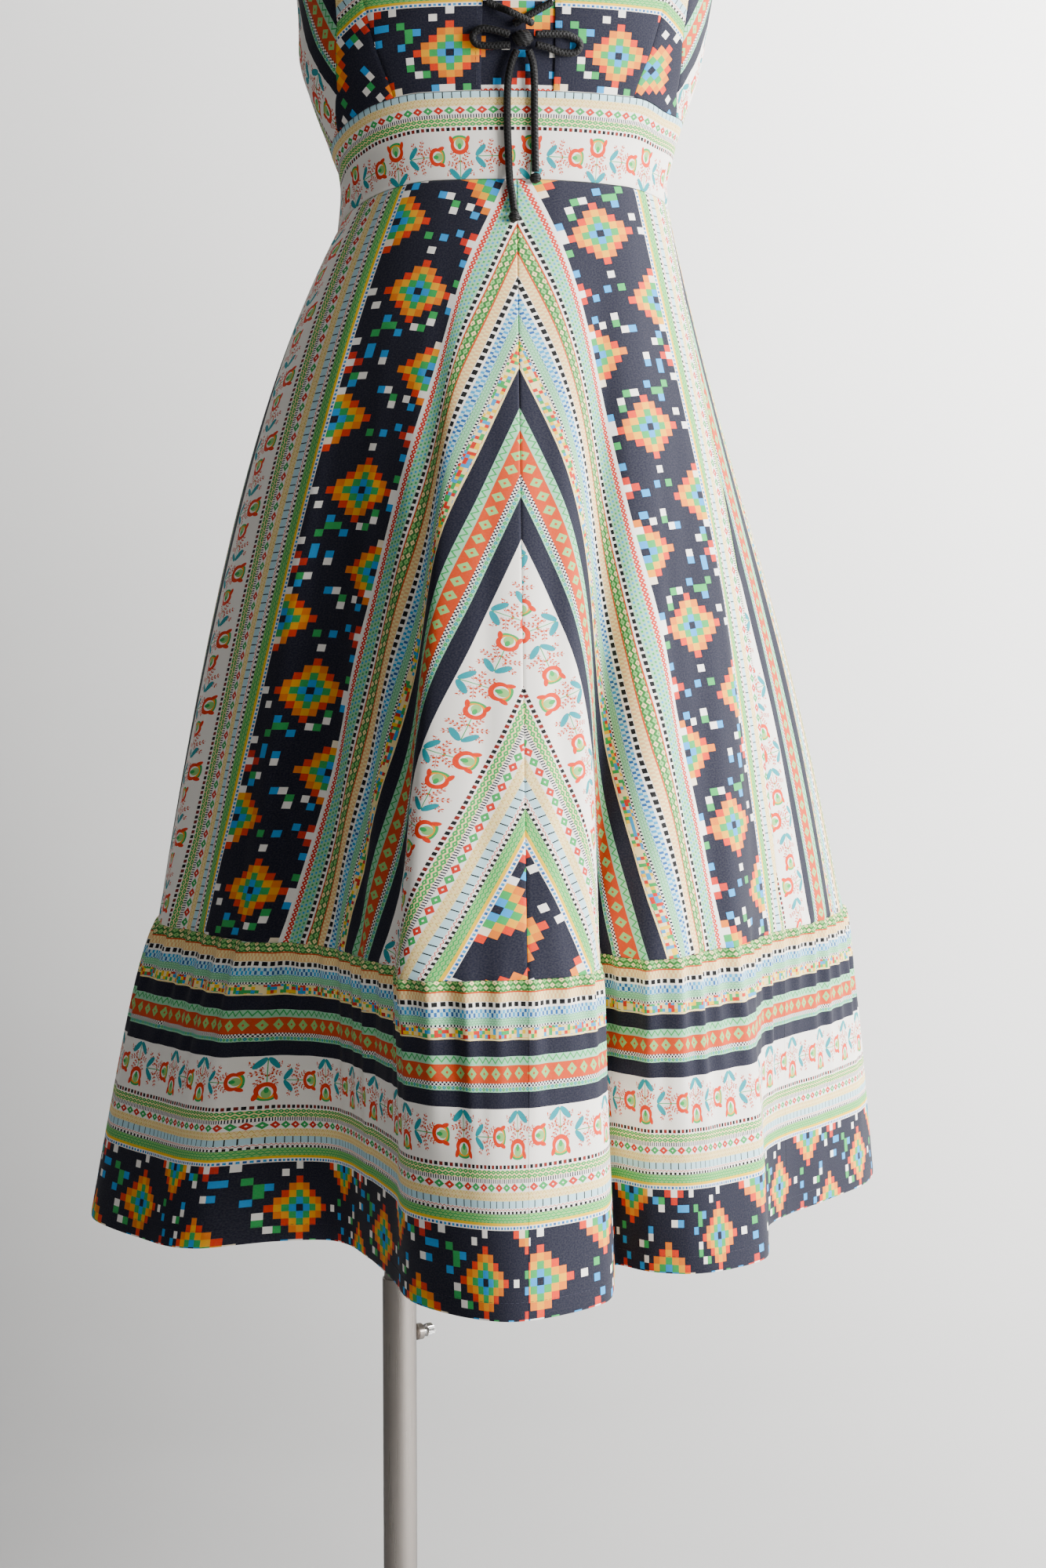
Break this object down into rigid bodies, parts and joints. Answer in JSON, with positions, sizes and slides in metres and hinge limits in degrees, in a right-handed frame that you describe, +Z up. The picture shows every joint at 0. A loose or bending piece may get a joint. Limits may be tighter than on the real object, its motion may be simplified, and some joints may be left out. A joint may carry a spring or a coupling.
{
  "type": "day dress on a dress form",
  "caption": "Sleeveless printed day dress with a laced scoop-neck bodice, shaped waist band, flared skirt and gathered flounce, on a limbless form with a steel pole stand.",
  "frame": {"origin": "centre of the base plate's underside, on the pole's axis", "axes": "+Z up along the pole, the front of the dress faces -Y, +X to the viewer's right"},
  "size_m": [0.5865, 0.6585, 1.728],
  "materials": {
    "print_cloth": "woven cotton, printed stripes",
    "navy_print_cloth": "woven cotton, navy print",
    "lace": "black braided cord",
    "form_foam": "matt jersey-covered foam",
    "pole_steel": "brushed nickel",
    "plate_steel": "satin grey",
    "screw_chrome": "polished",
    "zip_tape": "woven tape, navy",
    "zip_metal": "satin navy"
  },
  "bodies": {
    "stand": {"base_plate": "plate_steel", "base_hub": "pole_steel", "outer_tube": "pole_steel", "clamp_nut": "pole_steel"},
    "clamp": {"clamp_screw": "screw_chrome"},
    "mast": {"inner_tube": "pole_steel"},
    "figure": {"bodice_back_left": "print_cloth", "bodice_back_right": "print_cloth", "bodice_front_left": "print_cloth", "bodice_front_right": "print_cloth", "bodice_side_front_left": "print_cloth", "bodice_side_front_right": "print_cloth", "bow_knot": "lace", "bow_loop_left": "lace", "bow_loop_right": "lace", "flounce_back_left": "print_cloth", "flounce_back_right": "print_cloth", "flounce_front_left": "print_cloth", "flounce_front_right": "print_cloth", "lace_bottom_over": "lace", "lace_bottom_under": "lace", "lace_cross_1_over": "lace", "lace_cross_1_under": "lace", "lace_cross_2_over": "lace", "lace_cross_2_under": "lace", "lace_cross_3_over": "lace", "lace_cross_3_under": "lace", "lace_knot_long": "lace", "lace_knot_short": "lace", "lace_tail_long": "lace", "lace_tail_short": "lace", "lace_top_bar": "lace", "lacing_underlay": "navy_print_cloth", "midriff_back_left": "print_cloth", "midriff_back_right": "print_cloth", "midriff_front": "print_cloth", "neck_cap": "plate_steel", "pole_socket": "pole_steel", "skirt_back_left": "print_cloth", "skirt_back_right": "print_cloth", "skirt_front_left": "print_cloth", "skirt_front_right": "print_cloth", "torso_form": "form_foam", "zip_slider": "zip_metal", "zip_tape": "zip_tape"},
    "zip_tab": {"zip_pull": "zip_metal"}
  },
  "joints": [
    {"name": "mast_slide", "type": "slide", "parent": "stand", "child": "mast", "axis": [0, 0, 1], "range_m": [-0.08, 0.2]},
    {"name": "form_turn", "type": "hinge", "parent": "mast", "child": "figure", "pos_m": [0, 0, 0.93], "axis": [0, 0, 1], "continuous": true},
    {"name": "clamp_turn", "type": "hinge", "parent": "stand", "child": "clamp", "pos_m": [0, 0, 0.406], "axis": [0.866, 0.5, 0], "continuous": true},
    {"name": "zip_tab_hinge", "type": "hinge", "parent": "figure", "child": "zip_tab", "pos_m": [0.079, 0.09269, 1.55124], "axis": [1, 0, 0], "range_deg": [0, 150]}
  ]
}
